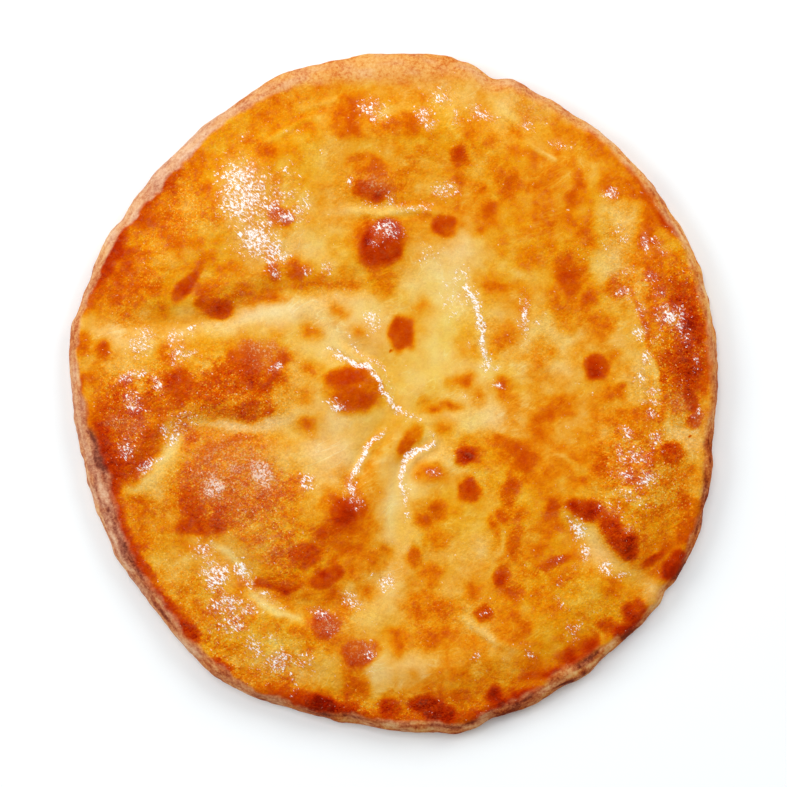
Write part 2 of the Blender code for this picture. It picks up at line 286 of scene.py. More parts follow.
BROWN = spots("""
    84 -24 6 5 .45, 97 -29 8 .5, -106 1 5 .75, -101 -57 6 8 20 .4, -79 79 9 8 40 .33, 56 -30 5 9 10 .4,
    50 -58 6 10 .36,
    # the middle
    -4.6 59.2 10 8.2 30 .98, -13 60 3 4 .6, -18 6.4 8 4.4 .84, -15 1.6 10.6 9.2 .62, 3 23 5.4 7.2 -8 .86,
    29 -25 4.2 4.4 .94, 30 -39 4.8 .92, 15 -32 6 4 .55, -38 49 4.4 4 .66, -48 47 4 3.6 .7, -33 -13 4 .5,
    -38 -38 4 5 .5, -6 -21 3 3.4 .45, -33 24 4 .42, -21 32 3 .45, -14 24 3.5 3 .2, -32 9 4 2.5 .5,
    -35 -1 3 .4, 29.5 4.5 3 .55, 24 4 2.5 .35, 12 -4 3 2 .5, 22 -4.6 4 1.8 .6, 15 -7 4 1.8 .6, 12 34 3 2.6 .4,
    50 37 4 .38, 30 20 4 4.5 .15, 44 3 3.2 3 .55, 7 -20 7.4 2.9 55 .78, 21 -14 3.5 3 .42, -6 -37 3 .3,
    -9 -30 2.5 .4, 41 42 5 3 -8 .36, 46 24 6 4.5 10 .45, 42 18 3 .35, 34 -2 2.5 .4, 45 -21 10 3.6 -28 .55,
    53 -26 4 .66, -30 45 11 2.6 .2, -14 44 8 2 -6 .15, -4 43 3.5 4 .3, -50 38 6 1.8 .6,
    # the far side
    -20 111 6 7 .55, -16 103 6 3 .6, -6 103 8 2.6 .4, 6 108 8 3 10 .6, 10 104 7 3 .4, 26 93.6 3.8 .72,
    27 83.5 3 2.8 .58, 36 81 2.2 .6, 37 72 5 4 .62, 20 66 5 4.6 .9, 21 70 11 3.4 .4, 13 70 3 2.4 .6,
    -10 90 7 5 .65, -8 80 7 4.4 .85, -1 97 4 3.4 .48, -11 109 3 4 .52, -4 84 5 4 .55, 7.5 91 3 5 .42,
    -50 96 4 5 .5, -42 98 2.4 2.2 .35, -43 114 19 9 14 .42, 42 82 4 7 .25, 46 83 4 6 .42, 56 93 3 4.4 -30 .55,
    73 84 4 .5, 71 79 3 2.4 .5, 61 67 2.8 2.6 .66, 73 75 5 3 .46, 56 64 7 2.4 .46, 54 55 5 4.4 .45,
    75 62 4 4.6 .5, 74 60 3.4 3 .55, 66 103 8 5 -25 .35, 80 98 9 6 -38 .45, 68 60 6 4 .42,
    # the near right
    69.5 47 4 9 6 .64, 74 47 3.4 7 -14 .6, 70 30 6 .5, 68 37 5 .42, 77 33 3 7 -14 .5, 82 26 5.5 8 .5,
    88.5 42 3.8 3.6 .66, 81 10.5 5.4 5 .96, 86 15 4 2.6 40 .62, 90 .5 3.4 3 .7, 87 -2 4 2 .6, 58 11 4 6 .42,
    60.5 17 3 4 .46, 66 38 4 .5, 78 32 4 5 .55, 46 -3 3.6 7 .4, 63 -8 3 5 .55, 70 -5 4 .5, 58 -12 3.6 5 .6,
    74 15 3.4 4 .46, 62 -24 5 4 .45, 74 -29 5 3 .44, 97 -11 5 .5, 101 -17 6 4 .42, 89 -34 6 3 .42,
    103 -9 3 .35, 111 -24 5 .85, 106 -25 5 3.4 .6, 82 -31 3 4 .64, 75 -35 5 2 .45, 88 -12 13 5 .2,
    # the right edge
    116 17 8 11 .6, 119.4 27 4 11 6 .92, 116 38 6 7 10 .75, 110 8 4.4 14 .48, 111 18 6 8 .6, 119 10 4 3 .75,
    121 3 3.6 3 .7, 118 -3 3 4.4 20 .9, 120 -11 3.2 2.8 .85, 125 15 2.6 6 .6, 113 27 8 7 .45,
    109 53 6 4 -20 .42, 103 50 4.6 6 .6, 117 15 4 5 .8, 122.5 15 3 4 .75, 102 63 4.4 5.6 .6,
    111 69 4.6 7 40 .88, 103 68 5 .52, 98 88 6 3 -50 .62, 104 78 7 5 -50 .66, 91.5 82.4 8 4.8 -26 .56,
    87 82 4 3.6 .52, 106 40 6 8 .6, 104 29 4 6 .58, 37 64 5 4 .5,
    # the near edge and right of the middle
    46 -39 3.6 6.4 -12 .8, 41 -50 3.6 3.8 .72, 51 -49 2.6 3.4 .5, 64 -47 3.4 4 .65, 77 -46.4 7 4 -8 .97,
    88.4 -56.1 11 4.2 -48 .92, 93 -60.5 4.6 .94, 104 -46 4 3 .6, 115 -43 3 .5, 117 -54 4 7 -20 .65,
    104 -66 5.4 2.2 38 .88, 111 -71 3.8 4.4 1.12, 114 -65 3.4 2.4 20 .95, 97 -87 4.6 5 .98, 93 -94 5 3 24 1,
    86 -92 6 2.2 -4 .7, 79 -101 5 2.6 28 .75, 71 -104.5 6 3 18 .75, 75 -107 5 2 24 .8, 63 -112 5 1.4 10 .95,
    53 -119.5 5.4 2 12 1, 54 -112 6.4 3 12 .62, 88 -77 4 3 .42, 62 -54 6 4 .5, 65 -66.5 5 2 14 .84,
    58 -69 6 2.2 26 .6, 63 -73 5 2.6 .46, 76 -73 4 3 .44, 59 -62 3 .55, 47.5 -60 2.8 5 .68, 43 -54 3 8 .55,
    43.5 -73 3 4.4 .74, 49 -78 3.2 6 .6, 52 -71 3 3.4 .5, 43 -90 7 5 .42, 70 -87 7 4 .4, 104 -71 4 3 .5,
    54 -107 4 3.4 .5, 10 -73 5 3.6 .45, 32 -80 3 3.2 .6, 36 -88 3.6 3.4 .92, 13 -50.5 3.6 3.2 .56,
    19 -46.5 4 .6, 19 -59 4 3.4 .54, 8 -65 3.6 4 -10 .7, 15 -70.5 3.6 3.2 .58, 14 -76 3 2 .6, 12 -81 4 3 .46,
    17 -86 8 5 .52, 18 -97 6.6 4.4 .58, 9 -97 5 2.6 .34, 2 -97 4 3.2 .48, 3 -102 2.6 3.4 .5, 27 -111 4 5 .4,
    35 -104 3 5 .46, 39 -109 4 3.4 .52, 40 -120 3.8 3.6 1, 48 -123 8 2.4 14 1, 12 -124 5 3.2 1,
    17 -126 9 4 -14 1.08, .5 -126 4.6 4 .98, 29 -129 9 3 .75, 50 -90 5 4 .35, 53 -94 4 2.4 30 .4,
    30 -121 9 5 .45, -18 -125 5 3 .9, 43 -127 6 2.4 14 .85,
    # the near left
    -19.5 -46.5 5.6 .9, -27 -55 4.6 3 .72, -18 -56 4 3 .4, -18.5 -48.6 9.4 8.8 .6, -35 -65 6.4 6 .75,
    -26 -73.5 6.4 3.6 20 .96, -42 -75 8 3 -4 .75, -51 -74 4 .5, -25 -81.5 4 2.2 .6, -27 -91.5 6 5 .92,
    -13 -104 5.8 5 .78, -7 -101 2.6 3.4 .58, -14 -113 4.4 6 .6, -8 -67 5 4.4 .5, -4 -61.5 3 2.6 .48,
    -23 -78 3.6 2.6 .6, -10 -78 3 .42, -29 -124 7 4 -16 1.16, -39 -122 6 3 -10 .85, -43 -113 4 3 .6,
    -46 -119 7 4 -20 .6, -13 -118 5 4 .6, -77 -52 9 4 4 .8, -79 -37 5 8 .6, -62 -36 22 13 -20 .54,
    -70 -21 8 2 20 .62, -47 -60 18 14 -30 .34, -115 -20 3.4 8 6 .85, -68 -52 6 3 .82, -75 -45 5 .7,
    -61 -45 8 5 .66, -81 -44 3.4 6 .78, -68 -108 5 2.4 -20 .85, -60 -104 12 5 -35 .3, -98 -69 3 6.4 36 .88,
    -90.5 -84 3.4 9 38 .92, -83 -94 7 5 -45 .9, -82 -88 4 .5, -104 -62 3 6 25 .8, -109.5 -50 3 8 20 .84,
    -103 -45 5 .56, -20 -66 9 6 .4, -44 -66 8 6 .48, -80 -77 5 4 .44,
    # the left
    -85 1 6 7.4 .75, -60 6 13 7.4 -6 .74, -57 14 8 7 .66, -46 12 5.6 7.4 .62, -55 -6 8 4 6 .86,
    -66 -8 6 2.4 .6, -70 -5 10 4 .5, -72 -1 6 .66, -95 -4 7 6 .65, -105 -20 13 14 .75, -99 -18 5 6 .7,
    -107 -28 8 6 .85, -112 -12 5 8 .5, -113.5 -26 3 7 12 1.06, -112 -36 4 6 10 .75, -79 -19 4 2.4 60 .7,
    -60 -18 8 1.8 14 .6, -89 14 3.4 4.6 .55, -116 17 3 3.2 .65, -123 20 3 4.4 .7, -119 5 7 3.4 .54,
    -124 3 3 3.4 .75, -82 43 2.8 8 -38 .85, -74 52 3 4.4 -50 .64, -75 37 4.6 4.2 .75, -69 34 6 4 4 .78,
    -72.5 53 3.6 2.4 30 .55, -76 59 3 .4, -85 58 3.4 3 .5, -115 52 6 14 -28 .92, -106 50 11 10 .6,
    -97 74 7 9 -40 .6, -89 86 4 8 -42 .65, -92 70 7 8 .58, -119 41 5 8 -20 .7, -108 41 11 6 .42,
    -95 40 8 5 .38, -115 36 4.4 3.6 .52, -105 31 3 2.4 .4, -64 45 8 7 .5, -68 43 4 3 .6, -44 69.5 4.4 .7,
    -72 72 6 .42, -66 108 12 4 28 .25, -82 97 8 4.6 38 .56, -78 91 7 6 40 .5,
""")

PALE = spots("""
    -24 -10 12 6 .38, 105 -53 4 .4, 90 58 5 18 -10 .2, -52 -94 12 .1, 5 -55 5 8 .45, 36 13 8 9 .8,
    37 27 5 6 .4, -28 26 18 6 .3, 11 59 5 4 .6, -2 109 4 .9, 22 111 7 5 .35, 45 110 5.4 5 .42, -28 -111 6 .38,
    10 -116 5 3 .42, -4 -116 4 3 .35, 11 -57.5 3.4 3 .6, -12 -7 9 4.6 .4, -46 -26 6 5 .42, 51 49 6 4 .45,
    82 46 5 5 -20 .42, 78 2 6 4 .5, 105 13 2.6 8 .55, -84 12 5 3.4 .4, -95 19 5 3.6 .42, -107 31 7 2.6 .4,
    -86 36 4 6 .4, 21 -28 8 3 .5, 28 -31 6 3 .6, -20 21 8 4 .6, -1 9 3 6 15 .8, 0 0 3 5 .5, -9 95 5 3 .5,
    -16 51 6 3 .5, -42 53 5 3 .4, -21 40 4 .5, 42 8 6 5 .5, 30 -13 8 3 .5, 95 37 3 4 .6, 82 67 3 5 .5,
    47 -107 4 5 .4, -67 53 3 2.6 .35, -34 -114 8 4 .3, 4 -105 16 6 .25, -60 4 16 14 .15, -30 76 12 .28,
    20 106 7 6 .35, 44 108 7 5 .4, 58 45 6 5 .3, -46 94 7 5 .4, -33 76 4 .4, -122 11 3 .5, 62 22 12 16 .35,
    -2 -111 12 7 .45,
    # the smooth dough all round the gathering point
    -20 16 22 .75, -18 -22 20 15 .69, 14 -32 16 14 .6, -38 8 8 14 .4,
    # the left fold and the wedge of smooth dough that runs into it
    -47 32.5 20 5.6 9 .95, -66 27 18 4.6 4 .55, -92 25 24 6 .4, -112 25 12 7 -10 .6, -104 14 10 5 .3,
    -124 28 4 5 .7, -36 22 4 7 40 .45, -112 5 9 6 .35,
    # the smooth dough right of the gathering point
    20 42 15 14 .75, 17 52 13 10 .42, 18 14 14 20 .8, 22 -8 14 9 .6, -8 33 14 8 .6, 45 33 8 .45,
    40 -9 12 9 .7, 56 8 14 .35, 66 24 14 8 -10 .6, 60 40 9 12 .22, 72 8 9 8 .33, 87 21 9 8 .45,
    100 8 6 18 .62, 94 28 7 8 .35, 6 3 6 12 .6, -3 20 4 5 .25,
    # the gathering point
    0 -45 7 12 .95, 0 -62 8 10 .8, 6 -34 5 8 10 .7, -6 -25 5 9 -30 .4, 15 -18 7 6 .5, -42 -5 6 8 .35,
    -30 -22 12 6 -8 .26, -45 -12 8 4 .8, -32 -42 4 9 .45, -33 -26 8 7 .45, -8 -8 9 4 .4,
    # below it
    -4 -76 8 .6, -8 -88 11 9 .7, -7 -108 5 13 .75, 21 -75 18 12 .3, 28 -55 10 .42, 10 -106 10 6 .3,
    52 -52 4 6 .45, 36 -62 6 8 .25, -18 -78 4.4 3 .7, -22 -109 6 11 .45, -29 -40 3 5 .4, -54 -95 12 7 -20 .2,
    -45 -86 11 3 -28 .75, -64 -62 9 4.4 -15 .7, -94 -62 9 8 .25, -78 -66 7 10 .2, 37 -94 8 1.4 -35 .3,
    53 -68 6 2.4 45 .4, 62 -92 8 6 .15,
    # the right
    77 -55 9 4.6 -45 .8, 84 -64 8 5 -35 .75, 96 -71 8 3.6 -24 .6, 103 -79 4.4 5 .62, 68 -38 7 3.4 .4,
    75 -84 9 5 .1, 117 -17 12 4 4 .75, 108 -12 4 6 .9, 120 -23 6 4 .25, 123 -4 4 .5, 86 72 7 .35, 86 56 7 .4,
    82 49 7 6 -20 .55, 82 91 8 5 -20 .25, 83 87 4 3 .4, 91 5 4 3 .45, 57 25 5 4 .42, 95 71 4 5 .1,
    114 58 4 5 .3, 70 -25 10 6 .1, 84 -40 6 3 .2, 112 -48 5 8 .25, 124 43 2.5 9 12 .4,
    # the far side
    -5 72 18 2.6 .8, -36 60 10 9 .52, -22 62 7 .35, -20 92 16 10 .25, 30 62 10 5 .6, 25 118 14 6 .4,
    44 115 10 6 .5, 34 90 4 6 .35, -60 90 14 6 30 .28, -66 76 12 10 .2, -54 60 9 .35, -25 100 8 4 .3,
    -92 53 9 4 10 .4, -83 71 6 4 .25, -101 66 6 4 .35, -73 48 4 3 .38, -82 33 5 6 20 .4, -35 96 12 8 .1,
    48 62 8 6 .12, 12 82 8 4 .3,
    # the left below the dome's upper edge
    -89 -24 6 7 20 .7, -95 -36 6 4 40 .42, -103 -39 5 2 .2, -82 -20 5 6 .3, -98 -52 7 6 .25,
""")

# Bands of browning that follow the edge: width, strength, then the points each runs through
# browning and painted shade of the groove beside the lower-left rim
# painted shadow under the lip of the left fold
BROWN_LINES = curves("""
    6 .3   108 62  114 46  118 28  118 8  117 -8
    7 .34   114 -28  113 -46  106 -62
    6 .3   -118 -2  -113 -20  -108 -36
    5 .3   92 -90  78 -104  60 -114  40 -122
    3 .5   -117 -6  -115 -26  -112 -38  -109 -50  -104 -63  -98 -74  -90 -85  -79 -98
    1.6 .5   -105 -66  -101 -72  -96 -79  -91 -86
    2.2 .5   -121 38  -117 48  -111 59  -104 67  -97 75  -88 86  -80 94
    3.4 .6   -62 -116  -46 -121  -30 -127  -15 -129  0 -130  15 -131  32 -131
    2.6 .55   125 -40  122 -52  118 -64  112 -74
    2 .36   124 44  125.5 30  126 16  124 2  121 -10
    2 .6   38 -128  50 -124  60 -117
    1.2 .5   93 44  98 32  102 20  106 8  107 -4  106 -14
    1.2 .6   -56 -75  -48 -77  -40 -78  -32 -76
    1.2 .2   -64 39  -50 41  -36 43  -22 43  -12 42
""")

# Thin bands of stretched, unbrowned dough: width, strength, then the points each runs through
PALE_LINES = curves("""
    2.3 .68   -80 -11.5  -70 -12.5  -58 -13  -44 -14
    2.8 .65   -84 -17  -88 -24  -94 -33  -104 -40
    1.4 .7   -74 -59  -66 -63  -60 -69  -56 -76
    1.5 .7   -58 -77  -52 -83  -45 -87  -36 -89
    1.6 .6   98 26  103 14  105 4  106 -8
    1 .4   37 -46  43 -54  43 -62  39 -68
    .9 .45   50 -64  56 -69  62 -74
    .8 .4   62 -24  68 -26  74 -30
    .8 .45   56 99  62 94  66 91
    1 .4   78 -92  84 -97  80 -104
    1.1 .45   88 -96  84 -100.5  79 -105.5  72 -111  63 -115
""")

# Patches where butter and egg wash lie thick over crinkled skin: glossier, and painted with white glints as
# highlights
GLOSS = spots("""
    -60 84 9 1, -47 74 3 6 -20 .8, -63 77 6.6 8.6 .95, -57 76 8 12 -30 1, -54 61 9 8 -30 1.15,
    -49 58 5 9 20 1, -45 78 6 4 -30 .6, -40 79 5 3 -30 .5, -50 66 5 8 -30 .7, -42 70 3.4 3 1.1, -48 53 4 .95,
    -36 72 4 6 .75, -44 54 4 .95, -33 76 2.6 3 .7, -58 62 5 4 .9, -50 74 4 6 -30 .7, -42 84 8 .4,
    -46 47 3 2.4 .8, -33 49 2.4 2.6 .7, -26 51 3.4 2.6 -20 .8, -2 65 6 3.6 -10 1, -8 60 3 1.6 -20 .8,
    -16 83 1.4 2.6 -20 .8, -1 77 2.4 3 .8, 4 74 5 2.4 .5, 13 74 4 2.6 20 .7, 20 80 6 3 10 .8,
    -8 113 7 5 -20 .8, -3 108 4 1.6 .6, 12 111 4 4 -40 .9, 15 107 3.4 2.4 .9, 19 118 9 5 -10 .5,
    26 109 2.6 5 .6, 37 110 7 3 -25 .8, 53 107 4 .6, 66 99 5 2 -20 .6, 15 55 5 4 .55, 26 47 5 4 .6,
    24 37 6 8 .5, 32 36 3 8 20 .8, 35 24 1.6 8 4 .9, 37 12 2.6 4 -10 1, 41 10 2.4 1.4 .8, 42 3 3 1.6 -30 1,
    30 20 1.4 2.4 .6, 53 30 2.4 9 4 .95, 58 28 2 1.6 .8, 29 -1 2 .4, -8 29 4 5 .8, -45 10 3 2 .9,
    -22 -5 5 2.8 .95, 17 -32 2.6 1.6 .6, -33 -35 4 .8, -17 -36 3 4 .8, -14 -42 4 .6, 5 -42 2 5 -20 .7,
    6 -49 1.6 2 .7, 6 -61 1 2 -30 .7, -2 -74 3 4 -40 .9, -4 -77 1.6 2 .8, -16 -82 4.4 2.6 -25 .9,
    -8 -108 2.4 8 .3, 86.5 79 3.2 2.6 .95, 89 66 4 3 .5, 92 60 3 2.4 .7, 85 58 1.6 .7, 101 60 2 4 10 1,
    107 59 2.6 4 30 .7, 94 49 3 .6, 102 47 4 3 .6, 92 40 3.4 3 -40 .8, 98 33 3 5 10 .6, 98 24 3.4 3 .9,
    110 30.5 6.6 6.4 .88, 114 26 4 3 .9, 116 20 4 3 .6, 106 40 4 .5, 105 22 3 .5, 101 14 2.4 3.6 .9,
    99 6 2 3.6 .9, 103 1 3 .7, 102 -4 4 1.6 1, 103 -9 2.4 1.6 1, 105 -17 3 5 -30 .7, 93 -16 3 3 -50 .8,
    89 -24 2 5 20 .8, 97 -25 6 4 -30 .7, 92 -32 5 4 .7, 101 -34 6 4 20 .85, 95 -41 8 4 -20 .62,
    86 -47 8 3 -30 .5, 94 -53 4 2 .6, 121 -8 2 3 .6, 120 12 3 6 .4, 73 -54 3.4 5 30 1, 77 -63 3 3.4 1,
    85 -69 3 3.6 20 .9, 90 -72 4 2 .8, 73 -69 2 .7, 66 -75 2 3 .4, 67 -83 2.4 5 20 .6, 72 -95 5 4 30 .6,
    55 -103.5 3 2 -30 .7, 66 -66 4 2 .5, 36 -88 1.6 1.4 .7, 34 -105 2 2.6 .5, -75 -63 5.6 4.6 .9,
    -70 -73 6 7 -20 1.05, -60 -70 4 6 35 1, -57 -75 2.4 2.6 1, -66 -84 9 4.4 .9, -57 -86 5 3 .8,
    -64 -92 8 5 .75, -55 -101 3.4 6 10 .8, -46 -106 6 5 20 .95, -47 -98 4 2 .6, -35 -106 5 4 .7,
    -41 -112 2 3 20 .7, -38 -117 2 3 .5, -29 -86.5 5 2.2 -10 .8, -25 -93 5 3 .45, -9 -104 3 4 .7,
    -48 -81 7 1.4 -35 .5, -7 -72 2 .5, -102.6 -4 3.6 5.6 20 .85, -99 -12 5 3 30 .5, -105 -21 3.6 6 10 .8,
    -101 8 5 2 10 .9, -106 6 5 2.6 20 .85, -93 3 1.6 4 30 1, -91 -15 2.4 2.6 1, -86 -18 5 3 30 .8,
    -97 -30 5 3 40 .9, -92 -27 3 1.6 40 .8, -76 -10 3.4 .6, -84 -12 7 5 20 .66, -100 19 5 5 -50 .8,
    -98 24 4 2.4 -40 .8, -86 22 5 3.4 40 .8, -80 26 2 .9, -84 16 4 .8, -80 15 4 1.4 30 .9, -86 12 3 4 .5,
    -75 27 3 1 .6, -58 103 5 1.4 35 .4, -38 104 4 1.4 30 .4, -27 95 2 1.6 .5,
""")

# Wet ridges, glossy and painted with glints as highlights: width, strength, then the points each runs through
WET_LINES = curves("""
    1.1 1.6   -28 21  -22 15  -16 12  -10 11  -6 7  -3 1  0 -5  5 -9  12 -11
    .9 1   -20 25  -17 20  -12 16  -5 13  -2 8  1 0
    1.1 1.5   -2 -14  -8 -20  -13 -28  -17 -36  -13 -42
    1.1 1.5   15 -15  17 -21  10 -24  5 -28  3 -36  6 -42
    1.2 1.4   27 52  30 42  33 34  35 26  36 18  37 11  40 8
    1.4 .8   -68 -66  -62 -70  -57 -76  -48 -82  -40 -86
    1.3 .7   -16 74  -4 74  8 74  14 76
""")

# Creamier, less yellow dough (a negative strength makes it more lemon)
CREAM = spots("""
    -45 33 28 7 8 .62, -95 27 30 7 .42, -35 -24 20 10 -8 .4, -50 -8 20 8 .4, 12 38 14 12 .25, 30 -10 16 8 .3,
    20 55 12 10 .2, -8 -70 12 22 .35, -10 125 50 9 .3, 60 20 16 14 .1, 118 -17 12 6 .4, -80 -78 22 24 .1,
    70 -80 26 20 -.35, 0 -112 26 8 .3, -45 -66 20 12 -.3, 106 -30 10 16 -.3, 24 -58 20 14 -.25,
    84 -64 16 9 -40 .3, 88 60 12 22 .3, -10 98 44 16 -.3, -62 -13 18 3.4 4 .5, 102 -80 6 10 .6,
""")

# Dry, faintly floury skin on the domes; the rows above 1 are painted soft highlights of the domes
FLOUR_AND_SHEEN = spots("""
    -62 -30 20 13 -20 .75, -70 -37 5 5.4 -30 2, -52 -32 5.4 8 30 1.9, -62 -30 5 3 1.3, -58 -46 14 8 .45,
    -51 17 7 5 .9, -57 20 4 .6, -5 83 5 4 .6, -25 -91 6 5 .5, -12 -102 6 5 .55, 88 47 3 2.4 .8, 113 -4 4 .6,
    123 -11 4 .6, -106 -12 6 2.6 -10 .7, -50 -60 12 8 .3, 55 113 8 4 -25 .5,
""")

# Where the skin is grainy, over a slightly grainy ground (a negative strength makes it smooth)
GRITTY = spots("""
    -60 -38 26 18 -20 .65, -66 2 28 15 .5, -106 -12 14 24 .55, 114 22 13 38 .7, 91 60 10 22 .35,
    98 -34 18 22 .5, -64 -92 34 17 -40 .45, -86 62 26 20 40 .2, -40 -62 20 13 .25, 72 -86 28 14 .2,
    10 -126 50 6 .35, 88 -54 16 9 -40 .3, 10 20 24 34 -.35, -16 -18 22 14 -.25, 68 80 24 18 -.3,
    56 -12 20 22 -.25, 0 -52 14 34 -.2, 8 -106 22 10 -.15, -8 127 44 10 -.2,
""")

# The side, seen from above. Each table gives an angle and spread in degrees, and what is added there.
# How far in from the outline the dry side shows:
SIDE_REACH = 3.2
SIDE_REACHES = table("""
    92 17 8, 132 13 3, 146 4 1.6, 156 4 1.2, 176 6 1.6, 198 14 5, 238 7 2.4, 279 12 1.8, 303 8 3.6,
    347 4 1.2, 316 5 -2.2, 330 5 -1.8, 212 6 1.8, 193 6 1.6,
""")
# How wide the soft border between the top and the side is:
SIDE_SOFT = 1.2
SIDE_SOFTER = table("85 20 8, 20 45 2.4, 192 12 2, 300 24 1.6, 219 16 2.4")
# How dark the side is, partly its browning and partly painted shade on the lower side that faces away from
# the light, and how pink:
SIDE_SHADE = 0.36
SIDE_SHADES = table("""
    92 24 .04, 135 16 -.08, 192 20 .06, 265 22 .16, 305 16 .12, 343 18 .2, 84 8 -.14, 287 7 .24, 48 24 -.04,
    322 2.6 -.4, 285 2 -.2, 330 9 .14,
""")
SIDE_BLUSH = 0.5
SIDE_BLUSHES = table("92 24 -.45, 135 18 .45, 205 30 .35, 20 40 -.25, 262 20 -.1, 308 20 -.15")
# How strongly the side is streaked, and how dark the painted shade of the fold along its inner border is:
STREAKS = 0.1
STREAKED = table("302 22 .12, 205 26 .05")
CREVICE_SHADE = 0.08
CREVICE_SHADES = table("203 18 .2, 228 14 .1, 300 14 .2, 90 30 -.1")

# Folds and ridges of the side, drawn in colour; the darker lines are painted shade in the folds. Width, how
# much darker, how much pinker, then the points each runs through
SIDE_LINES = curves("""
    3.4 .46 .3   -120 -4  -118.5 -14  -116.5 -24  -115 -33
    1.2 -.16 .6   -117.5 -30  -116.5 -38  -115 -46
    .7 .3 .2   -119 -30  -117.5 -39  -115.5 -48  -112.5 -55
    .9 -.2 .6   -114.5 -47  -112 -54  -110 -61
    1.6 .3 .1   -114.5 -41  -112 -50  -108 -60  -104 -67  -100 -74
    1 .3 0   -100 -77  -92 -87  -84 -96
    .8 -.25 0   90 -96.5  84 -102  80 -107  73 -112  64 -116
    .7 .3 0   87 -98  81 -103  76 -108
    .8 .35 0   72 -114  64 -117  56 -121
    1 .3 .1   26 -132  14 -132.5  2 -132
    1 -.4 0   124.5 44  125.5 36  126.5 28
""", 3)

# Darker and paler lumps of the side: centre x and y, half sizes, turn, how much darker
SIDE_SPOTS = spots("""
    62 -118.6 3 1.6 25 -.15, 81 -104 2 .25, 54 -121.5 3.4 1.4 20 .3, 86 -101 2.4 1.6 45 -.2,
    58 -118.5 2.4 1.4 20 -.25, 45 -124.5 3 1.4 14 -.2, 21 -130.5 4 1.2 -6 -.2, 76 -110 2.6 2.4 .5,
    69 -116 3.6 2 20 .35, 93 -95 4 2.6 40 .45, 99 -90 5 2 45 .3, 31 -131 4 1.6 .4, 73 -112 1.8 1.4 -.05,
    -1 -131 3 -.3, 6 -133 3 2 -.15, -30 -128 5 2 -10 .2, -15 -131.5 6 2.4 -.2, 115 -70 3 4.4 .5,
    17 -133 5 1.6 -.12, 36 -129 3 -.3, 47 -126 5 2 20 .25, 126 -20 2.5 5 .2, 122 -44 2.6 6 20 .25,
    115 -62 2.6 5 35 .25, -122 -34 2.6 5 14 -.1, 113 -73 3 3 40 .5, 94 -95 3 2.4 40 .3, 125.5 -40 2 7 8 .3,
    44 -127.5 4 1.6 14 .25, -106 -69 3 -.15,
""")

# Small burnt flecks: centre and size
FLECKS = table("-.5 17 .6, -1 -21 .4, 118.6 -17 .6, -3.6 106.5 .4, -16.6 -59 .6, 48 -115 .5, 3 -90 .35")

# How brown the top is, from 0 to 1
GROUND = 0.405
SPOT_LEAST = 0.34  # the faintest browned spot
SPOT_RANGE = 0.59  # how much browner the strongest is
SPOT_BORDER = (0.8, 0.17, 6.5)  # mm of soft border, more for each mm of size, and more if the spot is faint
HALO = 0.22  # the part of a browned spot that fades far beyond its border
PALE_DEPTH = 0.88  # the part of the browning that the strongest pale spot takes away


def soft_spot(x, y, place):
    return np.exp(-oval(x, y, *place) ** 2.4)


def brown_spot(x, y, place, strength):
    """1 inside an oval and 0 outside, with a border that is softer on large and faint ovals, and a halo."""
    away, size = oval(x, y, *place), min(place[2], place[3])
    least, by_size, by_faintness = SPOT_BORDER
    border = least + by_size * size + by_faintness * max(0.0, 0.76 - strength)
    return (1 - HALO) * smooth_step(0.5 + (1 - away) * size / (2 * border)) + HALO * bell(away / 1.5)


def beside_each(x, y, lines):
    """Each line's strength, its fade towards its ends, and how near it the points are, from 0 to 1."""
    for width, strength, points in lines:
        side, fade = beside_curve(x, y, points, 4 * width)
        yield strength, fade, bell(side / width)


def strongest(x, y, places):
    found = np.zeros_like(x)
    for *place, strength in places:
        found = np.maximum(found, strength * soft_spot(x, y, place))
    return found


def added(ground, x, y, places):
    for *place, strength in places:
        ground += strength * soft_spot(x, y, place)
    return np.clip(ground, 0, 1)


